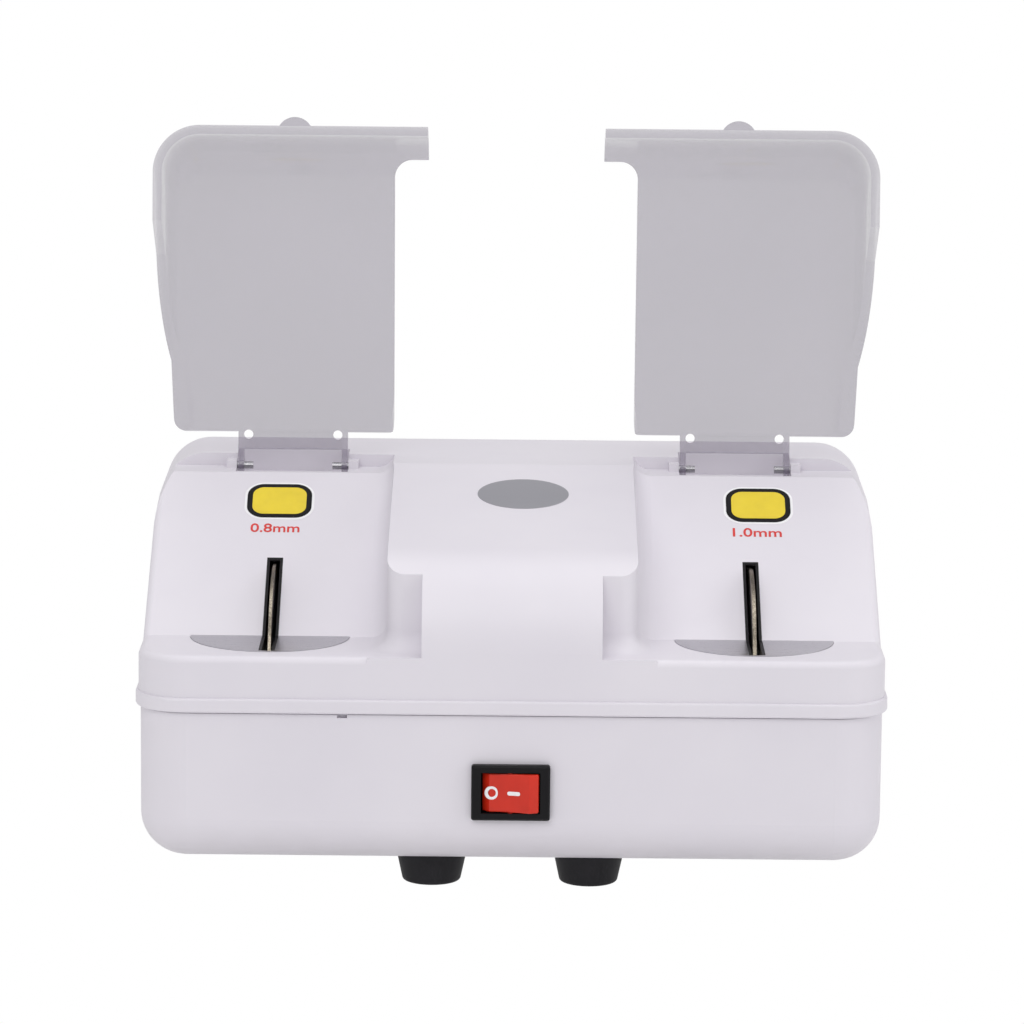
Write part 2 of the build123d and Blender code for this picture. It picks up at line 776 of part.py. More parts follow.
def capacitor_nodes():
    """Motor capacitor in its clip, behind the motor."""
    top = chassis_z + chassis_thickness
    y = front_y + capacitor_depth
    z = top + clip_wall + seat_gap + capacitor_radius
    can = bar("X", -capacitor_half, capacitor_half, capacitor_radius, y, z)
    nodes["run_capacitor"] = fillet(can.edges(), clip_wall)
    radius = capacitor_radius + seat_gap
    clip = ring("X", -clip_half, clip_half, radius + clip_wall, radius, y, z)
    clip -= block_between((-half_width, half_width), (y - capacitor_radius, y + capacitor_radius),
                          (z + capacitor_radius / 2, seam_z + deck_z))
    pad = block_between((-clip_half, clip_half), (y - capacitor_radius / 2, y + capacitor_radius / 2),
                        (top, top + 2 * clip_wall))
    clip += pad - bar("X", -half_width, half_width, radius, y, z)
    nodes["capacitor_clip"] = clip


def terminal_nodes():
    """Terminal block on the chassis plate, with its row of screws."""
    top = chassis_z + chassis_thickness
    y = rear_y - block_rear
    body = block_between((block_centre - block_half, block_centre + block_half),
                         (y - block_width / 2, y + block_width / 2), (top, top + block_height))
    screws = []
    for index in (-1, 0, 1):
        x = block_centre + index * block_screw_pitch
        low, high = top + block_height / 2, top + block_height
        body -= bar("Z", low, high, screw_head_radius + screw_gap, x, y)
        screws.append(bar("Z", low, high - screw_gap, screw_head_radius, x, y))
    nodes["terminal_block"] = body
    nodes["terminal_screws"] = Compound(children=screws)


# Switch, inlet and fuse

def switch_nodes():
    """Rocker switch in the front wall, shown switched off."""
    pivot_y = front_y - rocker_pivot
    window_x = rocker_radius + rocker_gap
    window_z = rocker_half_z + rocker_gap
    face = block_between((-bezel_half_x, bezel_half_x), (front_y - bezel_proud, front_y + base_inset),
                         (switch_z - bezel_half_z, switch_z + bezel_half_z))
    frame = fillet(face.edges().filter_by(Axis.Y), bezel_round)
    frame = chamfer(frame.faces().sort_by(Axis.Y)[0].edges(), bezel_bevel)
    frame += block_between((-housing_half_x, housing_half_x), (front_y, front_y + housing_depth),
                           (switch_z - housing_half_z, switch_z + housing_half_z))
    frame -= block_between((-window_x, window_x), (front_y - 2 * bezel_proud, pivot_y + window_x),
                           (switch_z - window_z, switch_z + window_z))
    trunnion = rocker_half_z + trunnion_length
    frame -= bar("Z", switch_z - trunnion - screw_gap, switch_z + trunnion + screw_gap,
                 trunnion_radius + pin_running, 0, pivot_y)
    nodes["switch_bezel"] = frame
    face_x, bevel_y = rocker_radius - rocker_bevel, rocker_bevel_drop - rocker_end
    outline = [
        ThreePointArc((-face_x, -rocker_end), (0, -rocker_valley), (face_x, -rocker_end)),
        Polyline((face_x, -rocker_end), (rocker_radius, bevel_y), (rocker_radius, rocker_tail),
                 (-rocker_radius, rocker_tail), (-rocker_radius, bevel_y), (-face_x, -rocker_end)),
    ]
    shape = make_face(outline) & Circle(rocker_radius)
    rocker = extrude(Plane.XY.offset(-rocker_half_z) * shape, amount=2 * rocker_half_z)
    rocker = fillet(rocker.edges(), rocker_edge_round)
    rocker += bar("Z", -trunnion, trunnion, trunnion_radius, 0, 0)
    rocker = Rot(0, 0, -rocker_tilt) * rocker
    nodes["rocker"] = Pos(0, pivot_y, switch_z) * rocker
    back = front_y + housing_depth
    nodes["switch_terminals"] = Compound(children=[
        block_between((x - blade_gauge / 2, x + blade_gauge / 2), (back, back + blade_reach),
                      (switch_z - blade_width / 2, switch_z + blade_width / 2))
        for x in (-housing_half_x / 2, housing_half_x / 2)])


def inlet_nodes():
    """Mains inlet and its three contacts in the rear wall."""
    flange_x, flange_z = inlet_half_x + inlet_flange, inlet_half_z + inlet_flange
    outer = rear_y + inlet_flange_thickness
    flange = block_between((inlet_x - flange_x, inlet_x + flange_x), (rear_y - base_inset, outer),
                           (inlet_z - flange_z, inlet_z + flange_z))
    flange = fillet(flange.edges().filter_by(Axis.Y), inlet_flange)
    back = rear_y - inlet_depth
    body = flange + block_between((inlet_x - inlet_half_x, inlet_x + inlet_half_x),
                                  (back, outer - inlet_flange_lap),
                                  (inlet_z - inlet_half_z, inlet_z + inlet_half_z))
    floor_y = outer - socket_depth
    socket = block_between((inlet_x - socket_half_x, inlet_x + socket_half_x), (floor_y, outer),
                           (inlet_z - socket_half_z, inlet_z + socket_half_z))
    upper = ShapeList(edge for edge in socket.edges().filter_by(Axis.Y) if edge.center().Z > inlet_z)
    body -= chamfer(upper, socket_corner)
    contacts = []
    for offset, rise in ((-pin_pitch, 0), (0, earth_rise), (pin_pitch, 0)):
        x, z = inlet_x + offset, inlet_z + rise
        contact = block_between((x - contact_width / 2, x + contact_width / 2),
                                (back - contact_tail, floor_y + contact_reach),
                                (z - contact_height / 2, z + contact_height / 2))
        body -= contact
        contacts.append(contact)
    nodes["power_inlet"] = body
    nodes["inlet_contacts"] = Compound(children=contacts)


def fuse_nodes():
    """Panel fuse holder, its cap and the glass fuse inside."""
    face = rear_y + fuse_flange_thickness
    back = rear_y - fuse_body_depth
    holder = bar("Y", back, rear_y, fuse_body_radius, fuse_x, fuse_z)
    holder += bar("Y", rear_y - base_inset, face, fuse_flange_radius, fuse_x, fuse_z)
    holder -= bar("Y", back + wall, face, fuse_bore, fuse_x, fuse_z)
    nodes["fuse_holder"] = holder
    cap = bar("Y", face, rear_y + fuse_proud, fuse_cap_radius, fuse_x, fuse_z)
    cap = fillet(cap.faces().sort_by(Axis.Y)[-1].edges(), base_inset)
    stem_back = rear_y - fuse_stem
    cap += bar("Y", stem_back, face, fuse_bore - seat_gap, fuse_x, fuse_z)
    cap -= block_between((fuse_x - fuse_cap_radius / 2, fuse_x + fuse_cap_radius / 2),
                         (rear_y + fuse_proud - base_inset, rear_y + fuse_proud),
                         (fuse_z - base_inset, fuse_z + base_inset))
    nodes["fuse_cap"] = cap
    nodes["glass_fuse"] = bar("Y", stem_back - fuse_length, stem_back, fuse_radius, fuse_x, fuse_z)


def lead(points):
    """Insulated lead along straight runs joined by arcs as large as the runs allow."""
    radii = []
    for before, here, after in zip(points, points[1:], points[2:]):
        run_in, run_out = Vector(here) - Vector(before), Vector(after) - Vector(here)
        turn = math.radians(run_in.get_angle(run_out))
        radii.append(lead_arc_share * min(run_in.length, run_out.length) / math.tan(turn / 2))
    route = FilletPolyline(*points, radius=radii)
    start = Plane(origin=route @ 0, z_dir=route % 0)
    tube = sweep(start * Circle(lead_radius), path=route)
    share = tube.volume / (math.pi * lead_radius ** 2 * route.length)
    print("lead radii", [round(radius, 1) for radius in radii], "volume ratio", round(share, 4))
    return tube


def lead_nodes():
    """Internal leads from the inlet to the fuse, the switch and the motor."""
    contact_y = rear_y - inlet_depth - contact_tail
    fuse_back = rear_y - fuse_body_depth
    line_x, neutral_x = inlet_x + pin_pitch, inlet_x - pin_pitch
    nodes["inlet_lead"] = lead([
        (line_x, contact_y, inlet_z),
        (line_x, contact_y - inlet_exit, inlet_z),
        ((line_x + fuse_x) / 2, contact_y - inlet_exit - inlet_loop, inlet_z + lead_lift),
        (fuse_x, fuse_back - inlet_exit, fuse_z),
        (fuse_x, fuse_back, fuse_z),
    ])
    switch_back = front_y + housing_depth + blade_reach
    tab_x = housing_half_x / 2
    lead_z = chassis_z + chassis_thickness + lead_height
    saddle_front = spindle_y - saddle_span
    side_x = lead_clearance - (disc_centre - shroud_half - shroud_wall)
    bow_y = saddle_front - lead_ahead - lead_bow
    nodes["switch_lead"] = lead([
        (-tab_x, switch_back, switch_z),
        (-tab_x, switch_back + lead_exit, switch_z),
        (-tab_x - lead_step, saddle_front - lead_ahead, lead_z + lead_lift),
        (-tab_x - lead_spread, bow_y, lead_z),
        (side_x + lead_margin + lead_bow, saddle_front + lead_side, lead_z + lead_lift),
        (side_x + lead_margin, spindle_y + lead_past, lead_z + 2 * lead_lift),
        (side_x, contact_y - inlet_exit - inlet_turn, inlet_z - inlet_drop),
        (neutral_x, contact_y - inlet_exit, inlet_z),
        (neutral_x, contact_y, inlet_z),
    ])
    block_front = rear_y - block_rear - block_width / 2
    block_z = chassis_z + chassis_thickness + block_height / 2
    nodes["motor_lead"] = lead([
        (tab_x, switch_back, switch_z),
        (tab_x, switch_back + lead_exit, switch_z),
        (tab_x + lead_step, saddle_front - lead_ahead, lead_z + lead_lift),
        (tab_x + lead_spread, bow_y, lead_z),
        (block_centre - lead_lift, saddle_front + lead_bow, lead_z),
        (block_centre + lead_lift, block_front - 2 * block_exit, block_z),
        (block_centre, block_front - block_exit, block_z),
        (block_centre, block_front, block_z),
    ])


# Casing details

def shroud(side):
    """Half-round swarf shroud under one disc, with its chute to the hatch."""
    low_x, high_x = disc_centre - shroud_half, disc_centre + shroud_half
    body = spindle_bar(low_x - shroud_wall, high_x + shroud_wall, shroud_inner + shroud_wall)
    body += block_between((low_x - shroud_wall, high_x + shroud_wall),
                          (spindle_y - chute_half - shroud_wall, spindle_y + chute_half + shroud_wall),
                          (floor_z, spindle_z - shroud_inner + shroud_wall))
    body -= spindle_bar(low_x, high_x, shroud_inner)
    body -= block_between((low_x, high_x), (spindle_y - chute_half, spindle_y + chute_half),
                          (floor_z, spindle_z))
    body -= block_between((0, half_width), (front_y, rear_y), (spindle_z, ledge_z))
    body -= spindle_bar(0, low_x, shaft_radius + shroud_clearance)
    body -= spindle_bar(high_x, half_width, nut_radius + shroud_clearance)
    return on_side(side, body)


def hatch(side):
    """Swarf hatch under the base, with a plug that fills the chute."""
    top = foot_height
    plane = Plane.XY.offset(top)
    outline = Pos(disc_centre, spindle_y) * Rectangle(2 * hatch_half_x, 2 * hatch_half_y)
    plate = extrude(plane * outline, amount=-hatch_height)
    lower = plate.faces().sort_by(Axis.Z)[0].edges().filter_by(Axis.Y)
    plate = chamfer(lower, hatch_bevel, hatch_taper)
    plug_x, plug_y = shroud_half - hatch_plug_gap, chute_half - hatch_plug_gap
    plate += block_between((disc_centre - plug_x, disc_centre + plug_x),
                           (spindle_y - plug_y, spindle_y + plug_y), (top - hatch_height / 2, floor_z))
    for x, y in hatch_places():
        plate -= bar("Z", 0, top, screw_radius + screw_gap, x, y)
    return on_side(side, plate)


def foot(x, y):
    """Tapered rubber foot with a well for its screw and washer."""
    body = Pos(x, y, foot_height / 2) * Cone(foot_bottom_radius, foot_top_radius, foot_height)
    body = fillet(body.faces().sort_by(Axis.Z)[0].edges(), foot_edge_round)
    body -= bar("Z", 0, foot_height - foot_well, foot_well, x, y)
    return body - bar("Z", 0, foot_height, screw_radius + screw_gap, x, y)


def casing_nodes():
    """Covers, plates, shrouds, hatches, feet and the screws that hold them."""
    nodes["top_cover"] = top_cover()
    nodes["base_shell"] = base_shell()
    plate_low = deck_z - plate_thickness + plate_proud
    for name, side in sides.items():
        plate = extrude(Plane.XY.offset(plate_low) * plate_outline(plate_radius), amount=plate_thickness)
        nodes[f"{name}_rest_plate"] = on_side(side, plate - disc_slot())
        pins = [on_side(side, hinge_pin(way, 0)) for way in (-1, 1)]
        nodes[f"{name}_hinge_pins"] = Compound(children=pins)
        nodes[f"{name}_slot_liner"] = on_side(side, slot_liner())
        nodes[f"{name}_guard"] = guard(side)
        nodes[f"{name}_swarf_shroud"] = shroud(side)
        nodes[f"{name}_swarf_hatch"] = hatch(side)
    hatch_head = foot_height - hatch_height
    nodes["hatch_screws"] = Compound(children=[
        screw(side * x, y, hatch_head, hatch_height + wall)
        for side in sides.values() for x, y in hatch_places()])
    names = ("front_left_foot", "front_right_foot", "rear_left_foot", "rear_right_foot")
    for name, (x, y) in zip(names, foot_places()):
        nodes[name] = foot(x, y)
    washer_z = foot_height - foot_well
    head_z = washer_z - washer_thickness
    nodes["foot_washers"] = Compound(children=[
        ring("Z", head_z, washer_z, foot_well - washer_inset, screw_radius + screw_gap, x, y)
        for x, y in foot_places()])
    nodes["foot_screws"] = Compound(children=[
        screw(x, y, head_z, floor_z - head_z) for x, y in foot_places()])
    nodes["case_screws"] = Compound(children=[
        screw(x, y, seam_z - wall, seam_gap + boss_screw_depth) for x, y in boss_places()])


casing_nodes()
spindle_nodes()
motor_nodes()
capacitor_nodes()
terminal_nodes()
switch_nodes()
inlet_nodes()
fuse_nodes()
lead_nodes()

os.makedirs("parts", exist_ok=True)
for name, shape in nodes.items():
    export_step(shape, f"parts/{name}.step")
print(len(nodes), "nodes")
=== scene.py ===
"""Dresses the lens notching machine: finishes for each piece, printed marks, studio and camera."""

import json
import logging
import math
from dataclasses import dataclass, field
from enum import Enum

import bmesh
import bpy
from mathutils import Matrix, Vector


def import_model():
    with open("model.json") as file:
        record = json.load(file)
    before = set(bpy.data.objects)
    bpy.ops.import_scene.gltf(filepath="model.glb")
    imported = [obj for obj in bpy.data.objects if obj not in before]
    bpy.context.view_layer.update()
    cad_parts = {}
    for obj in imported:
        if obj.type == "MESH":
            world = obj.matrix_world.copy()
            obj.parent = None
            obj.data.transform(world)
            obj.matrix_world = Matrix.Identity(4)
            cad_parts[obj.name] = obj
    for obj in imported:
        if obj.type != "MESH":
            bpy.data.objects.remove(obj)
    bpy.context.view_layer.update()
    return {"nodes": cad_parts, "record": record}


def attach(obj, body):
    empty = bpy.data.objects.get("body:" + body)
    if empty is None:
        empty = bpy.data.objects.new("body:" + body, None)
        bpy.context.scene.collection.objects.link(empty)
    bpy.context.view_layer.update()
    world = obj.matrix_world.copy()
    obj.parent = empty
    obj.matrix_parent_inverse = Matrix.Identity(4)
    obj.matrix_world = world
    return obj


log = logging.getLogger("lens_notching_machine")

Tree = bpy.types.NodeTree
Node = bpy.types.Node
Socket = bpy.types.NodeSocket
Mesh = bmesh.types.BMesh

MM = 0.001
WHITE = (1.0, 1.0, 1.0, 1.0)
QUARTER_TURN = math.pi / 2

# Curve of the sRGB standard.
SRGB_KNEE = 0.04045
SRGB_SLOPE = 12.92
SRGB_OFFSET = 0.055
SRGB_GAMMA = 2.4

# Octaves of noise, from soft blobs to ragged dust.
SOFT_DETAIL = 3.0
SCRATCH_DETAIL = 4.0
SMEAR_DETAIL = 5.0
DUST_DETAIL = 6.0
NOISE_MIDDLE = 0.5
SMEAR_SHARE = 0.25
SMOOTHEST = 0.02

# How finely round shapes are drawn, and how near two points of a shape are one.
CORNER_STEPS = 12
OVAL_STEPS = 72
RING_STEPS = 40
STROKE_STEPS = 8
CORNER_MERGE = 0.001
INK_MERGE = 0.02

# Share of the digits' height by which the ink spreads.
INK_SPREAD = 0.012


class Side(Enum):
    """The two notching stations, by the sign of their X."""

    LEFT = -1
    RIGHT = 1

    @property
    def word(self) -> str:
        """Name of the side as the nodes use it."""
        return self.name.lower()


def linear(code: str) -> tuple[float, float, float, float]:
    """Turn an sRGB hex colour into linear light.

    Args:
        code: six hex digits, with or without a leading hash.

    Returns:
        Linear red, green, blue and an alpha of one.
    """
    digits = code.lstrip("#")
    channels = [int(digits[i : i + 2], 16) / 255 for i in (0, 2, 4)]
    light = [channel / SRGB_SLOPE if channel <= SRGB_KNEE
             else ((channel + SRGB_OFFSET) / (1 + SRGB_OFFSET)) ** SRGB_GAMMA for channel in channels]
    return (*light, 1.0)


def add_node(tree: Tree, kind: str, settings: dict | None = None,
             links: dict | None = None) -> Node:
    """Add one shader node with its settings and its incoming links.

    Args:
        tree: node tree that gets the node.
        kind: Blender's type name for the node, without its Shader Node prefix.
        settings: attributes by name, or input values by input name or index.
        links: output sockets by the input name or index that they feed.

    Returns:
        The new node.
    """
    node = tree.nodes.new("ShaderNode" + kind)
    for key, value in (settings or {}).items():
        if isinstance(key, str) and hasattr(node, key):
            setattr(node, key, value)
        else:
            node.inputs[key].default_value = value
    for key, socket in (links or {}).items():
        tree.links.new(socket, node.inputs[key])
    return node


def ramp(tree: Tree, factor: Socket, stops: tuple[tuple[float, tuple], ...]) -> Socket:
    """Add a colour ramp between two colours.

    Args:
        tree: node tree that gets the ramp.
        factor: socket that drives it.
        stops: position and linear colour of its two stops.

    Returns:
        The ramp's colour socket.
    """
    node = add_node(tree, "ValToRGB", links={"Fac": factor})
    for element, (position, colour) in zip(node.color_ramp.elements, stops):
        element.position = position
        element.color = colour
    return node.outputs["Color"]


def white_where_seen(tree: Tree, lit: Socket, white_kind: str, rays: tuple[str, ...]) -> Socket:
    """Show plain white in place of a lit surface or sky to some kinds of ray.

    Args:
        tree: node tree of the floor's material or of the world.
        lit: shader socket that all other rays get.
        white_kind: Blender's type name for the node that gives the white.
        rays: Light Path outputs of the rays that see white.

    Returns:
        The mixed shader socket.
    """
    path = add_node(tree, "LightPath")
    seen = path.outputs[rays[0]]
    for ray in rays[1:]:
        either = add_node(tree, "Math", {"operation": "MAXIMUM"}, {0: seen, 1: path.outputs[ray]})
        seen = either.outputs["Value"]
    white = add_node(tree, white_kind, {"Color": WHITE, "Strength": 1.0}).outputs[white_kind]
    return add_node(tree, "MixShader", links={0: seen, 1: lit, 2: white}).outputs["Shader"]


@dataclass(frozen=True)
class Finish:
    """A surface finish with fine grain, slow colour drift and light handling marks."""

    name: str
    colour: str
    tint: str
    roughness: float
    metallic: float = 0.0
    ior: float | None = None
    grain_mm: float = 0.5
    grain_height_mm: float = 0.01
    drift_mm: float = 40.0
    drift_share: float = 0.5
    roughness_spread: float = 0.06
    stretch: tuple[float, float, float] = (1.0, 1.0, 1.0)
    coat: float = 0.0
    coat_roughness: float = 0.12
    sheen: float = 0.0
    specular: float = 0.5

    def start(self) -> tuple[bpy.types.Material, Tree, Node, Socket]:
        """Make the material, its tree, its shader and its object coordinates."""
        material = bpy.data.materials.new(self.name)
        material.use_nodes = True
        tree = material.node_tree
        tree.nodes.clear()
        shader = add_node(tree, "BsdfPrincipled", {
            "Metallic": self.metallic, "Specular IOR Level": self.specular, "Sheen Weight": self.sheen,
            "Coat Weight": self.coat, "Coat Roughness": self.coat_roughness})
        if self.ior is not None:
            shader.inputs["IOR"].default_value = self.ior
        add_node(tree, "OutputMaterial", links={"Surface": shader.outputs["BSDF"]})
        place = add_node(tree, "TexCoord").outputs["Object"]
        return material, tree, shader, place

    def noise(self, tree: Tree, place: Socket, size_mm: float,
              detail: float = SOFT_DETAIL) -> Socket:
        """Noise whose blobs are about size_mm across, stretched as the finish says."""
        stretched = add_node(tree, "Mapping", {"Scale": self.stretch}, {"Vector": place})
        settings = {"Scale": 1 / (size_mm * MM), "Detail": detail}
        links = {"Vector": stretched.outputs["Vector"]}
        return add_node(tree, "TexNoise", settings, links).outputs["Fac"]

    def base_colour(self, tree: Tree, place: Socket) -> Socket:
        """Slow drift between the finish's two colours."""
        drift = self.noise(tree, place, self.drift_mm)
        reach = self.drift_share / 2
        return ramp(tree, drift, ((NOISE_MIDDLE - reach, linear(self.colour)),
                                  (NOISE_MIDDLE + reach, linear(self.tint))))

    def vary_roughness(self, tree: Tree, shader: Node, factor: Socket) -> None:
        """Let a factor move the roughness to either side of the finish's own."""
        limits = {"To Min": max(self.roughness - self.roughness_spread, SMOOTHEST),
                  "To Max": self.roughness + self.roughness_spread}
        rough = add_node(tree, "MapRange", limits, {"Value": factor})
        tree.links.new(rough.outputs["Result"], shader.inputs["Roughness"])

    def raise_relief(self, tree: Tree, shader: Node, height: Socket) -> None:
        """Let a factor raise the fine relief."""
        bump = add_node(tree, "Bump", {"Distance": self.grain_height_mm * MM}, {"Height": height})
        tree.links.new(bump.outputs["Normal"], shader.inputs["Normal"])

    def surface(self, tree: Tree, shader: Node, place: Socket) -> None:
        """Set the shader's colour, roughness and fine relief."""
        tree.links.new(self.base_colour(tree, place), shader.inputs["Base Color"])
        smears = self.noise(tree, place, self.drift_mm * SMEAR_SHARE, SMEAR_DETAIL)
        self.vary_roughness(tree, shader, smears)
        self.raise_relief(tree, shader, self.noise(tree, place, self.grain_mm))

    def build(self) -> bpy.types.Material:
        """Make the finished material."""
        material, tree, shader, place = self.start()
        self.surface(tree, shader, place)
        return material


@dataclass(frozen=True)
class CasingAbs(Finish):
    """Injection-moulded ABS, whose low edges hold a little dust."""

    dust: str = "#C9C5C6"
    dust_low_mm: float = 9.0
    dust_high_mm: float = 20.0
    dust_patch_mm: float = 6.0
    dust_share: float = 0.5

    def base_colour(self, tree: Tree, place: Socket) -> Socket:
        """Body colour with a thin dusty band near the table."""
        clean = Finish.base_colour(self, tree, place)
        height = add_node(tree, "SeparateXYZ", links={"Vector": place}).outputs["Z"]
        patch = self.noise(tree, place, self.dust_patch_mm, DUST_DETAIL)
        limits = {"From Min": self.dust_high_mm * MM, "From Max": self.dust_low_mm * MM,
                  "To Max": self.dust_share}
        low = add_node(tree, "MapRange", limits, {"Value": height}).outputs["Result"]
        product = {"operation": "MULTIPLY", "use_clamp": True}
        share = add_node(tree, "Math", product, {0: low, 1: patch}).outputs["Value"]
        mix = add_node(tree, "Mix", {"data_type": "RGBA"}, {"Factor": share, "A": clean})
        mix.inputs["B"].default_value = linear(self.dust)
        return mix.outputs["Result"]


@dataclass(frozen=True)
class ClearGlass(Finish):
    """Clear glass, faintly tinted through its thickness."""

    def build(self) -> bpy.types.Material:
        """Make the clear material."""
        material, tree, shader, place = self.start()
        shader.inputs["Transmission Weight"].default_value = 1.0
        self.surface(tree, shader, place)
        return material


@dataclass(frozen=True)
class SmokedSheet(Finish):
    """Smoked see-through sheet, which veils what lies behind it and casts a thin shadow."""

    veil: float = 0.4
    shadow_share: float = 0.3

    def build(self) -> bpy.types.Material:
        """Make the veiled material."""
        material, tree, shader, place = self.start()
        self.surface(tree, shader, place)
        path = add_node(tree, "LightPath")
        limits = {"To Min": self.veil, "To Max": self.veil * self.shadow_share}
        veil = add_node(tree, "MapRange", limits, {"Value": path.outputs["Is Shadow Ray"]})
        tree.links.new(veil.outputs["Result"], shader.inputs["Alpha"])
        return material


@dataclass(frozen=True)
class BrushedMetal(Finish):
    """Metal with fine straight scratches along its brushing."""

    scratch_mm: float = 0.25

    def surface(self, tree: Tree, shader: Node, place: Socket) -> None:
        """Add scratches to the roughness and the relief."""
        tree.links.new(self.base_colour(tree, place), shader.inputs["Base Color"])
        lines = self.noise(tree, place, self.scratch_mm, SCRATCH_DETAIL)
        self.vary_roughness(tree, shader, lines)
        self.raise_relief(tree, shader, lines)


@dataclass(frozen=True)
class GrittedDisc(Finish):
    """Steel disc whose rim is plated with fine grit."""

    centre_y_mm: float = -18.5
    centre_z_mm: float = 50.0
    grit_from_mm: float = 27.0
    grit_mm: float = 0.4
    grain_tip: str = "#A79E90"
    grain_gap: str = "#6E675C"
    tip_until: float = 0.1
    gap_from: float = 0.7

    def base_colour(self, tree: Tree, place: Socket) -> Socket:
        """Bare steel inside, gritted band at the rim."""
        steel = Finish.base_colour(self, tree, place)
        move = (0, -self.centre_y_mm * MM, -self.centre_z_mm * MM)
        centred = add_node(tree, "Mapping", {"Location": move, "Scale": (0, 1, 1)}, {"Vector": place})
        radius = add_node(tree, "VectorMath", {"operation": "LENGTH"}, {0: centred.outputs["Vector"]})
        past = {"operation": "GREATER_THAN", 1: self.grit_from_mm * MM}
        band = add_node(tree, "Math", past, {0: radius.outputs["Value"]})
        grit = add_node(tree, "TexVoronoi", {"Scale": 1 / (self.grit_mm * MM)}, {"Vector": place})
        speckle = ramp(tree, grit.outputs["Distance"], ((self.tip_until, linear(self.grain_tip)),
                                                        (self.gap_from, linear(self.grain_gap))))
        mix = add_node(tree, "Mix", {"data_type": "RGBA"},
                       {"Factor": band.outputs["Value"], "A": steel, "B": speckle})
        return mix.outputs["Result"]


# Injection-moulded ABS: satin white with a lilac cast; its shallow mould texture softens glints.
CASING = CasingAbs("moulded_white_abs", "#DDD9E0", "#D8D4DC", 0.46, ior=1.52, grain_mm=0.8,
                   grain_height_mm=0.006, specular=0.35)
# Moulded off-white ABS hatch: a little greyer and duller, as it is handled.
HATCH = Finish("moulded_grey_abs", "#C4C0C6", "#BAB6BC", 0.42, ior=1.52, grain_mm=0.6)
# Moulded smoked polycarbonate: a grey-lilac veil, with slow flow ripples that bend its reflections.
GUARD = SmokedSheet("moulded_smoked_polycarbonate", "#8A8194", "#82798D", 0.22, ior=1.58,
                    grain_mm=14.0, grain_height_mm=0.02, drift_mm=60.0, roughness_spread=0.02,
                    coat=1.0, coat_roughness=0.05)
# Drawn glass tube: clear, with almost no colour.
FUSE_GLASS = ClearGlass("drawn_clear_glass", "#F2F6F5", "#EEF3F2", 0.03, ior=1.50, grain_mm=8.0,
                        roughness_spread=0.01)
# Moulded rubber: near black, matt, with a dusty bloom.
RUBBER = Finish("moulded_black_rubber", "#1A191D", "#242327", 0.62, ior=1.52, grain_mm=0.5,
                grain_height_mm=0.03, drift_mm=7.0, sheen=0.04, specular=0.2)
# Moulded polycarbonate rocker: bright red with a soft shine.
ROCKER_RED = Finish("moulded_red_polycarbonate", "#D12A14", "#C02510", 0.34, ior=1.58, grain_mm=0.5,
                    grain_height_mm=0.008, drift_mm=8.0, specular=0.3)
# Moulded nylon: near black, fine matt texture.
BLACK_NYLON = Finish("moulded_black_nylon", "#0E0D10", "#151417", 0.42, ior=1.53, grain_mm=0.35,
                     grain_height_mm=0.015, drift_mm=12.0, specular=0.15)
# Moulded natural nylon: ivory and slightly waxy.
IVORY_NYLON = Finish("moulded_ivory_nylon", "#DDD6C0", "#D4CCB4", 0.45, ior=1.53, drift_mm=9.0)
# Brushed stainless steel: straight scratches across the lens rest, broad soft glints.
REST_PLATE = BrushedMetal("brushed_stainless_steel", "#C9C8CC", "#BDBCC1", 0.30, 1.0, drift_mm=18.0,
                          stretch=(0.06, 1.0, 1.0), grain_height_mm=0.004, roughness_spread=0.09)
# Ground steel: short scratches round the pins and flanges.
GROUND_STEEL = BrushedMetal("ground_bright_steel", "#A9A8AB", "#9A999D", 0.26, 1.0,
                            stretch=(1.0, 0.1, 0.1), grain_height_mm=0.003, roughness_spread=0.07)
# Zinc-plated steel: pale, slightly blue and blotched by the plating.
ZINC = Finish("zinc_plated_steel", "#B9BCC0", "#A7A9A6", 0.34, 1.0, grain_mm=0.8, drift_mm=5.0,
              roughness_spread=0.1)
# Electroplated grit on a steel disc: grey disc, brown speckled rim.
DISC = GrittedDisc("electroplated_grit_on_steel", "#9D9CA0", "#8F8E92", 0.32, 1.0, grain_mm=0.4,
                   grain_height_mm=0.02)
# Cast aluminium: pale, grainy skin of the mould.
CAST_ALUMINIUM = Finish("cast_aluminium", "#AFB0B2", "#9FA0A3", 0.48, 1.0, grain_mm=0.9,
                        grain_height_mm=0.05, drift_mm=10.0)
# Stoved enamel on drawn steel: dark and smooth with slight orange peel.
ENAMEL = Finish("stoved_dark_enamel", "#26292E", "#2D3036", 0.36, ior=1.50, grain_mm=1.6, coat=0.3)
# Stacked electrical steel: thin layers, seen as lines across the stack.
LAMINATIONS = BrushedMetal("stacked_electrical_steel", "#5D5D60", "#47474A", 0.45, 1.0,
                           scratch_mm=0.5, stretch=(1.0, 0.05, 0.05), grain_height_mm=0.05)
# Enamelled copper wire: orange brown strands under varnish.
COPPER = BrushedMetal("varnished_copper_wire", "#B5673A", "#8E4A26", 0.35, 1.0, scratch_mm=0.6,
                      stretch=(1.0, 0.1, 0.1), grain_height_mm=0.15)
# Drawn aluminium can: bright with drawing lines along it.
DRAWN_CAN = BrushedMetal("drawn_aluminium", "#C9CACC", "#BBBCC0", 0.28, 1.0,
                         stretch=(0.08, 1.0, 1.0))
# Stamped brass: warm yellow, faintly tarnished.
BRASS = Finish("stamped_brass", "#C9A85C", "#AC8A46", 0.32, 1.0, drift_mm=3.0,
               roughness_spread=0.08)
# Extruded PVC insulation: blue, smooth and a little waxy.
PVC = Finish("extruded_blue_pvc", "#23407F", "#2A4889", 0.40, ior=1.54, drift_mm=6.0)
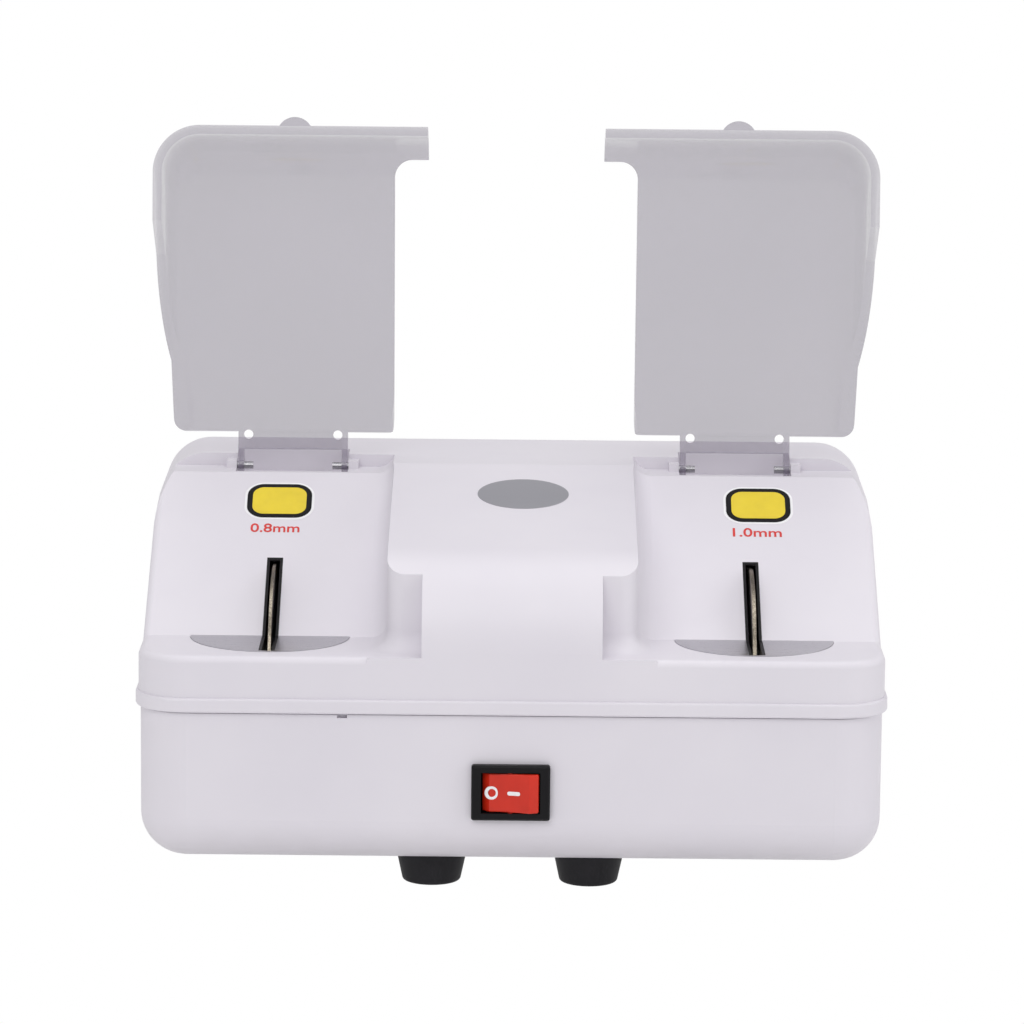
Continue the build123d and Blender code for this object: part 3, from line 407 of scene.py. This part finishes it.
# Screen-printed ink: matt red, slightly patchy at its edges.
RED_INK = Finish("screen_printed_red_ink", "#D8302A", "#C8352F", 0.50, grain_mm=0.3, drift_mm=2.0)
# Calendered white vinyl: the sticker's carrier and the rocker's marks, with a faint rolled grain.
WHITE_VINYL = Finish("calendered_white_vinyl", "#F0EFF1", "#E9E8EB", 0.35, grain_mm=0.5,
                     drift_mm=8.0)
# Calendered yellow vinyl: the sticker's face, a little shinier than the casing.
YELLOW_VINYL = Finish("calendered_yellow_vinyl", "#E9CF1E", "#DEC31C", 0.35, grain_mm=0.5,
                      drift_mm=6.0)
# Calendered black vinyl: the sticker's border, nearly without glints.
BLACK_VINYL = Finish("calendered_black_vinyl", "#0C0B0D", "#131215", 0.38, grain_mm=0.5,
                     drift_mm=6.0, specular=0.15)
# Silver foil badge: grey, very fine brushing along its length.
FOIL = BrushedMetal("brushed_silver_foil", "#A9A8AF", "#9E9DA5", 0.36, 0.6,
                    stretch=(0.05, 1.0, 1.0), scratch_mm=0.3, grain_height_mm=0.003)

FINISHES: dict[str, Finish] = {
    "white_abs": CASING,
    "grey_abs": HATCH,
    "clear_polycarbonate": GUARD,
    "fuse_glass": FUSE_GLASS,
    "black_rubber": RUBBER,
    "red_plastic": ROCKER_RED,
    "black_plastic": BLACK_NYLON,
    "ivory_nylon": IVORY_NYLON,
    "brushed_stainless": REST_PLATE,
    "ground_steel": GROUND_STEEL,
    "zinc_plated_steel": ZINC,
    "cutting_disc_steel": DISC,
    "cast_aluminium": CAST_ALUMINIUM,
    "motor_enamel": ENAMEL,
    "electrical_steel": LAMINATIONS,
    "enamelled_copper": COPPER,
    "capacitor_can": DRAWN_CAN,
    "brass": BRASS,
    "lead_insulation": PVC,
}


class Workshop:
    """Turns bmesh work into finished pieces and keeps one material for each finish."""

    def __init__(self, nodes: dict) -> None:
        """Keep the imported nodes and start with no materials."""
        self.nodes = nodes
        self.materials: dict[str, bpy.types.Material] = {}

    def material(self, finish: Finish) -> bpy.types.Material:
        """Give the finish's material, made once."""
        if finish.name not in self.materials:
            self.materials[finish.name] = finish.build()
        return self.materials[finish.name]

    def dress(self, node: str, finish: Finish) -> None:
        """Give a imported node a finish."""
        slots = self.nodes[node].data.materials
        slots.clear()
        slots.append(self.material(finish))

    def piece(self, name: str, mesh: Mesh, finish: Finish, body: str, slot: str,
              place: Matrix) -> None:
        """Make an object from a bmesh, put it in place and let it ride.

        Args:
            name: the piece's name.
            mesh: its shape, freed here.
            finish: its finish.
            body: the body that carries it.
            slot: the record's material slot for the piece, which is not used.
            place: where it goes, worked into the mesh.
        """
        bmesh.ops.transform(mesh, matrix=place, verts=mesh.verts)
        bmesh.ops.recalc_face_normals(mesh, faces=mesh.faces)
        data = bpy.data.meshes.new(name)
        mesh.to_mesh(data)
        mesh.free()
        obj = bpy.data.objects.new(name, data)
        bpy.context.scene.collection.objects.link(obj)
        data.materials.append(self.material(finish))
        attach(obj, body)
        log.info("%s: %d faces", name, len(data.polygons))


def thicken(mesh: Mesh, thickness: float) -> Mesh:
    """Raise a flat face on the local XY plane into a closed plate."""
    result = bmesh.ops.extrude_face_region(mesh, geom=mesh.faces[:])
    top = [item for item in result["geom"] if isinstance(item, bmesh.types.BMVert)]
    bmesh.ops.translate(mesh, vec=(0, 0, thickness), verts=top)
    return mesh


def rounded_plate(length: float, height: float, corner: float, thickness: float) -> Mesh:
    """Thin plate with round corners, its underside on the local XY plane.

    Args:
        length: end to end along X.
        height: across Y.
        corner: corner radius, at most half the height.
        thickness: along Z.

    Returns:
        The plate as a closed bmesh.
    """
    mesh = bmesh.new()
    places = []
    for quarter in range(4):
        angle = (quarter + 0.5) * QUARTER_TURN
        middle = Vector((math.copysign(length / 2 - corner, math.cos(angle)),
                         math.copysign(height / 2 - corner, math.sin(angle)), 0))
        for step in range(CORNER_STEPS + 1):
            turn = (quarter + step / CORNER_STEPS) * QUARTER_TURN
            places.append(middle + Vector((math.cos(turn), math.sin(turn), 0)) * corner)
    mesh.faces.new([mesh.verts.new(place) for place in places])
    bmesh.ops.remove_doubles(mesh, verts=mesh.verts, dist=corner * CORNER_MERGE)
    return thicken(mesh, thickness)


def oval_plate(length: float, height: float, thickness: float) -> Mesh:
    """Thin oval plate, its underside on the local XY plane.

    Args:
        length: end to end along X.
        height: across Y.
        thickness: along Z.

    Returns:
        The plate as a closed bmesh.
    """
    mesh = bmesh.new()
    bmesh.ops.create_circle(mesh, cap_ends=True, segments=OVAL_STEPS, radius=1)
    bmesh.ops.scale(mesh, vec=(length / 2, height / 2, 1), verts=mesh.verts)
    return thicken(mesh, thickness)


def lettering(text: str, width: float, height: float, thickness: float) -> Mesh:
    """Raised lettering, centred on the local origin and read from +Z.

    Args:
        text: plain digits and their unit.
        width: end to end along X.
        height: height of the digits.
        thickness: how far the ink stands up.

    Returns:
        The letters as a bmesh.
    """
    curve = bpy.data.curves.new("type", "FONT")
    curve.body = text
    curve.size = height
    curve.align_x = "CENTER"
    curve.align_y = "CENTER"
    curve.extrude = thickness / 2
    curve.offset = height * INK_SPREAD
    carrier = bpy.data.objects.new("type", curve)
    bpy.context.scene.collection.objects.link(carrier)
    bpy.context.view_layer.update()
    evaluated = carrier.evaluated_get(bpy.context.evaluated_depsgraph_get())
    data = bpy.data.meshes.new_from_object(evaluated)
    mesh = bmesh.new()
    mesh.from_mesh(data)
    bmesh.ops.remove_doubles(mesh, verts=mesh.verts, dist=thickness * INK_MERGE)
    across = [vert.co.x for vert in mesh.verts]
    upward = [vert.co.y for vert in mesh.verts]
    middle = Vector((max(across) + min(across), max(upward) + min(upward), -thickness)) / 2
    bmesh.ops.translate(mesh, vec=-middle, verts=mesh.verts)
    fit = (width / (max(across) - min(across)), height / (max(upward) - min(upward)), 1)
    bmesh.ops.scale(mesh, vec=fit, verts=mesh.verts)
    bpy.data.objects.remove(carrier)
    bpy.data.curves.remove(curve)
    bpy.data.meshes.remove(data)
    return mesh


@dataclass
class CasingForm:
    """Where the casing's faces lie, in millimetres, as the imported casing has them."""

    front_y: float = -68.5
    deck_z: float = 65.6
    deck_depth: float = 28.0
    ledge_depth: float = 86.4
    ledge_z: float = 101.0
    roof_angle: float = 11.0
    roof_depth: float = 20.23
    roof_z: float = 91.54

    @property
    def slope(self) -> float:
        """Angle of the bay's slope."""
        return math.atan2(self.ledge_z - self.deck_z, self.ledge_depth - self.deck_depth)

    def on_slope(self, x: float, along: float, lift: float = 0.0) -> Matrix:
        """Place with local Z out of the bay's slope.

        Args:
            x: sideways position.
            along: distance up the slope from its foot.
            lift: height above the slope.

        Returns:
            The placing matrix, in metres.
        """
        run, rise = math.cos(self.slope), math.sin(self.slope)
        y = self.front_y + self.deck_depth + along * run - lift * rise
        z = self.deck_z + along * rise + lift * run
        return Matrix.Translation(Vector((x, y, z)) * MM) @ Matrix.Rotation(self.slope, 4, "X")

    def on_roof(self, x: float, along: float) -> Matrix:
        """Place with local Z out of the raised middle's roof, so far up from its nose."""
        angle = math.radians(self.roof_angle)
        y = self.front_y + self.roof_depth + along * math.cos(angle)
        z = self.roof_z + along * math.sin(angle)
        return Matrix.Translation(Vector((x, y, z)) * MM) @ Matrix.Rotation(angle, 4, "X")


@dataclass
class Marks:
    """Printed marks and stickers on the casing."""

    shop: Workshop
    form: CasingForm
    film_mm: float = 0.08
    sticker_along: float = 55.9
    sticker_size: tuple[float, float] = (19.4, 15.6)
    sticker_corner: float = 5.4
    sticker_x: dict = field(default_factory=lambda: {Side.LEFT: -65.3, Side.RIGHT: 68.4})
    border_mm: float = 0.7
    face_mm: float = 2.2
    number_along: float = 44.5
    number_size: tuple[float, float] = (13.6, 3.6)
    number_x: dict = field(default_factory=lambda: {Side.LEFT: -66.1, Side.RIGHT: 67.8})
    badge_x: float = 2.7
    badge_along: float = 42.3
    badge_size: tuple[float, float] = (25.2, 23.0)
    numbers: dict = field(default_factory=lambda: {Side.LEFT: "0.8mm", Side.RIGHT: "1.0mm"})

    def station(self, side: Side) -> None:
        """Put the sticker and the notch width above one slot."""
        width, height = self.sticker_size
        films = (("backing", 0.0, WHITE_VINYL), ("border", self.border_mm, BLACK_VINYL),
                 ("face", self.face_mm, YELLOW_VINYL))
        for layer, (word, inset, finish) in enumerate(films):
            plate = rounded_plate((width - 2 * inset) * MM, (height - 2 * inset) * MM,
                                  (self.sticker_corner - inset) * MM, self.film_mm * MM)
            place = self.form.on_slope(self.sticker_x[side], self.sticker_along,
                                       layer * self.film_mm)
            name = f"{side.word}_sticker_{word}"
            self.shop.piece(name, plate, finish, "case", "white_abs", place)
        wide, high = self.number_size
        digits = lettering(self.numbers[side], wide * MM, high * MM, self.film_mm * MM)
        self.shop.piece(f"{side.word}_notch_width", digits, RED_INK, "case", "red_plastic",
                        self.form.on_slope(self.number_x[side], self.number_along))

    def badge(self) -> None:
        """Put a plain foil badge on the raised middle."""
        width, height = self.badge_size
        plate = oval_plate(width * MM, height * MM, self.film_mm * MM)
        self.shop.piece("plain_badge", plate, FOIL, "case", "brushed_stainless",
                        self.form.on_roof(self.badge_x, self.badge_along))

    def build(self) -> None:
        """Make every mark."""
        for side in Side:
            self.station(side)
        self.badge()


@dataclass
class RockerMarks:
    """White marks inlaid in the rocker's hollow face."""

    shop: Workshop
    pivot_mm: tuple[float, float, float] = (0.0, -69.0, 29.5)
    tilt_deg: float = -11.0
    valley_mm: float = 1.2
    face_radius_mm: float = 26.8
    ring_x_mm: float = -4.85
    ring_mm: float = 1.45
    stroke_mm: float = 0.46
    bar_x_mm: float = 1.1
    ring_flatness: float = 0.4
    bar_mm: tuple[float, float] = (3.5, 1.05)
    bar_corner_share: float = 0.45
    bar_thickness_mm: float = 0.2
    sunk_mm: float = 0.1

    def face(self, x: float) -> Matrix:
        """Place with local Z out of the rocker's face, x millimetres along it."""
        lean = math.asin(x / self.face_radius_mm)
        out = self.valley_mm + self.face_radius_mm * (1 - math.cos(lean)) - self.sunk_mm
        pivot = Matrix.Translation(Vector(self.pivot_mm) * MM)
        tilt = Matrix.Rotation(math.radians(self.tilt_deg), 4, "Z")
        spot = Matrix.Translation(Vector((x, -out, 0)) * MM)
        upright = Matrix.Rotation(QUARTER_TURN, 4, "X")
        return pivot @ tilt @ spot @ Matrix.Rotation(-lean, 4, "Z") @ upright

    def build(self) -> None:
        """Make the off ring on the left and the on bar beside it."""
        ring = bmesh.new()
        out = Matrix.Translation((self.ring_mm * MM, 0, 0))
        circle = bmesh.ops.create_circle(ring, segments=STROKE_STEPS, radius=self.stroke_mm * MM,
                                         matrix=out @ Matrix.Rotation(QUARTER_TURN, 4, "X"))
        bmesh.ops.spin(ring, geom=circle["verts"] + ring.edges[:], angle=math.tau, steps=RING_STEPS,
                       use_merge=True, axis=(0, 0, 1), cent=(0, 0, 0))
        bmesh.ops.scale(ring, vec=(1, 1, self.ring_flatness), verts=ring.verts)
        width, height = self.bar_mm
        plate = rounded_plate(width * MM, height * MM, height * self.bar_corner_share * MM,
                              self.bar_thickness_mm * MM)
        marks = (("rocker_off_ring", ring, self.ring_x_mm), ("rocker_on_bar", plate, self.bar_x_mm))
        for name, mesh, x in marks:
            self.shop.piece(name, mesh, WHITE_VINYL, "rocker_body", "white_abs", self.face(x))


@dataclass
class Machine:
    """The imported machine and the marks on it."""

    shop: Workshop
    record: dict

    def dress_nodes(self) -> None:
        """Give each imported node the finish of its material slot."""
        for row in self.record["subparts"]:
            finish = FINISHES[row["material_slot"]]
            self.shop.dress(row["node"], finish)
            log.info("%s: %s", row["node"], finish.name)

    def build(self) -> None:
        """Dress the nodes and add the marks."""
        self.dress_nodes()
        Marks(self.shop, CasingForm()).build()
        RockerMarks(self.shop).build()


@dataclass(frozen=True)
class SoftBox:
    """A rectangular lamp, placed and sized in metres, with its power in watts."""

    name: str
    place: tuple[float, float, float]
    size: tuple[float, float]
    watts: float

    def build(self, aim: tuple[float, float, float]) -> None:
        """Hang the lamp and turn it to its aim."""
        light = bpy.data.lights.new(self.name, "AREA")
        light.shape = "RECTANGLE"
        light.size, light.size_y = self.size
        light.energy = self.watts
        obj = bpy.data.objects.new(self.name, light)
        obj.location = self.place
        way = Vector(aim) - Vector(self.place)
        obj.rotation_euler = way.to_track_quat("-Z", "Y").to_euler()
        bpy.context.scene.collection.objects.link(obj)


@dataclass
class Studio:
    """Pale floor, soft lamps and the camera at the photograph's place."""

    floor_half: float = 12.0
    floor_colour: str = "#F4F4F4"
    world_strength: float = 0.55
    lamps: tuple[SoftBox, ...] = (
        SoftBox("front_box", (-0.5, -1.6, 1.5), (1.4, 1.0), 14.0),
        SoftBox("top_box", (0.1, 0.1, 1.9), (1.6, 1.2), 12.0),
        SoftBox("right_box", (1.7, -0.5, 0.8), (0.8, 1.0), 6.0),
    )
    lamp_aim: tuple[float, float, float] = (0.0, 0.0, 0.08)
    camera_mm: tuple[float, float, float] = (-0.35, -1342.5, 326.0)
    pitch_deg: float = 9.83
    roll_deg: float = 0.55
    focal_pixels: float = 4901.0
    image_pixels: int = 1024
    sensor_mm: float = 36.0
    clip_end: float = 100.0

    def floor(self) -> None:
        """Make the floor, which lights the machine from below and is seen as white."""
        mesh = bmesh.new()
        bmesh.ops.create_grid(mesh, x_segments=1, y_segments=1, size=self.floor_half)
        data = bpy.data.meshes.new("studio_floor")
        mesh.to_mesh(data)
        mesh.free()
        obj = bpy.data.objects.new("studio_floor", data)
        bpy.context.scene.collection.objects.link(obj)
        material = bpy.data.materials.new("pale_floor")
        material.use_nodes = True
        tree = material.node_tree
        tree.nodes.clear()
        paint = add_node(tree, "BsdfDiffuse", {"Color": linear(self.floor_colour)}).outputs["BSDF"]
        surface = white_where_seen(tree, paint, "Emission",
                                   ("Is Camera Ray", "Is Transmission Ray", "Is Glossy Ray"))
        add_node(tree, "OutputMaterial", links={"Surface": surface})
        data.materials.append(material)

    def world(self) -> None:
        """Light from all round, seen as white."""
        world = bpy.data.worlds.new("studio_world")
        bpy.context.scene.world = world
        world.use_nodes = True
        tree = world.node_tree
        tree.nodes.clear()
        soft = add_node(tree, "Background", {"Color": WHITE, "Strength": self.world_strength})
        surface = white_where_seen(tree, soft.outputs["Background"], "Background",
                                   ("Is Camera Ray", "Is Transmission Ray"))
        add_node(tree, "OutputWorld", links={"Surface": surface})

    def camera(self) -> None:
        """Set the camera where the photograph was taken from."""
        data = bpy.data.cameras.new("photo_camera")
        data.sensor_width = self.sensor_mm
        data.lens = self.focal_pixels / self.image_pixels * self.sensor_mm
        data.clip_end = self.clip_end
        obj = bpy.data.objects.new("photo_camera", data)
        turn = Matrix.Rotation(QUARTER_TURN - math.radians(self.pitch_deg), 4, "X")
        roll = Matrix.Rotation(math.radians(self.roll_deg), 4, "Z")
        obj.matrix_world = Matrix.Translation(Vector(self.camera_mm) * MM) @ turn @ roll
        bpy.context.scene.collection.objects.link(obj)
        bpy.context.scene.camera = obj

    def build(self) -> None:
        """Make the whole studio."""
        self.floor()
        self.world()
        for lamp in self.lamps:
            lamp.build(self.lamp_aim)
        self.camera()
        bpy.context.scene.view_settings.view_transform = "Standard"


def main() -> None:
    """Load the frame, and build the machine and the studio."""
    logging.basicConfig(level=logging.INFO, format="%(message)s")
    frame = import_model()
    Studio().build()
    Machine(Workshop(frame["nodes"]), frame["record"]).build()
    bpy.context.view_layer.update()


if __name__ == "__main__":
    main()
